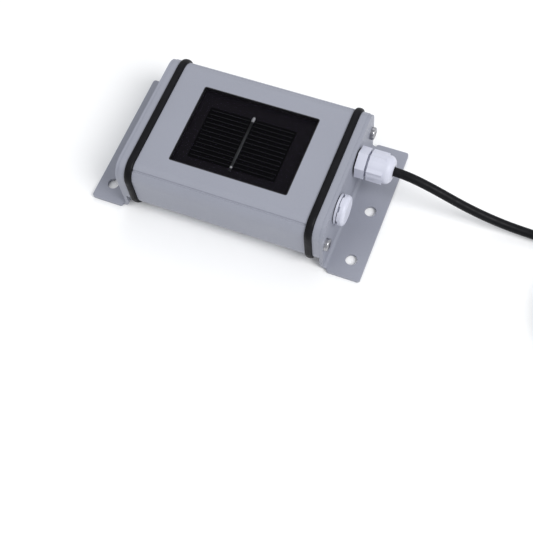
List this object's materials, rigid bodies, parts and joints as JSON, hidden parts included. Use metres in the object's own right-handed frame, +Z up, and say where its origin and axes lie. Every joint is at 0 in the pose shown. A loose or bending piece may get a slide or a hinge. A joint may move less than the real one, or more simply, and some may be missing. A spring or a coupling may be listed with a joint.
{
  "type": "solar irradiance sensor",
  "caption": "Solar irradiance sensor: silicon reference cell behind glass in a gasketed extruded aluminium case with folded feet, cable gland, pressure vent and cable.",
  "frame": {"origin": "middle of the footprint, on the ground plane of the feet", "axes": "+X along the case towards the cable gland, +Y across the case to the gland side, +Z up out of the window"},
  "size_m": [0.378, 0.1086, 0.04],
  "materials": {
    "coated_aluminium": "satin powder coat",
    "coated_sheet": "satin powder coat",
    "sealant": "satin",
    "window_glass": "polished",
    "clear_film": "clear",
    "silicon": "anti-reflective",
    "contact_metal": "printed silver",
    "tinned_ribbon": "tinned",
    "black_film": "matte",
    "chip_resin": "moulded",
    "gasket_rubber": "satin",
    "screw_steel": "passivated",
    "white_plastic": "moulded",
    "membrane": "microporous",
    "board_laminate": "solder mask",
    "green_plastic": "moulded",
    "resistor_body": "lacquered",
    "can_sleeve": "shrink sleeve",
    "lead_insulation": "extruded",
    "thin_insulation": "extruded",
    "cable_sheath": "extruded",
    "core_insulation": "extruded",
    "tie_plastic": "nylon",
    "ferrule_metal": "tinned"
  },
  "bodies": {
    "sensor": {"case": "coated_aluminium", "window_seal": "sealant", "cover_glass": "window_glass", "encapsulant": "clear_film", "solar_cell": "silicon", "cell_fingers": "contact_metal", "busbar": "tinned_ribbon", "backsheet": "black_film", "temp_sensor": "chip_resin", "gasket_left": "gasket_rubber", "gasket_right": "gasket_rubber", "cap_left": "coated_aluminium", "cap_right": "coated_aluminium", "foot_left": "coated_sheet", "foot_right": "coated_sheet", "screws_left": "screw_steel", "screws_right": "screw_steel", "gland_body": "white_plastic", "gland_washer": "gasket_rubber", "gland_seal": "gasket_rubber", "vent_body": "white_plastic", "vent_cap": "white_plastic", "vent_membrane": "membrane", "vent_washer": "gasket_rubber", "circuit_board": "board_laminate", "terminal_block": "green_plastic", "terminal_screws": "screw_steel", "amplifier": "chip_resin", "shunt": "resistor_body", "capacitor": "can_sleeve", "cell_leads": "lead_insulation", "sensor_leads": "thin_insulation", "sheath_inner": "cable_sheath", "cores_inner": "core_insulation", "cable": "cable_sheath", "cable_coil": "cable_sheath", "cable_tie": "tie_plastic", "cable_tail": "cable_sheath", "tail_cores": "core_insulation", "tail_ferrules": "ferrule_metal"},
    "thrust_ring": {"gland_ring": "white_plastic"},
    "dome_nut": {"gland_nut": "white_plastic"}
  },
  "joints": [
    {"name": "ring_slide", "type": "slide", "parent": "sensor", "child": "thrust_ring", "axis": [1, 0, 0], "range_m": [0, 0.0023]},
    {"name": "nut_turn", "type": "hinge", "parent": "thrust_ring", "child": "dome_nut", "pos_m": [0.07, 0.0125, 0.0285], "axis": [1, 0, 0], "range_deg": [0, 540]}
  ],
  "couplings": [
    {"joint": "ring_slide", "follows": "nut_turn", "m_per_rad": 0.00023873}
  ]
}
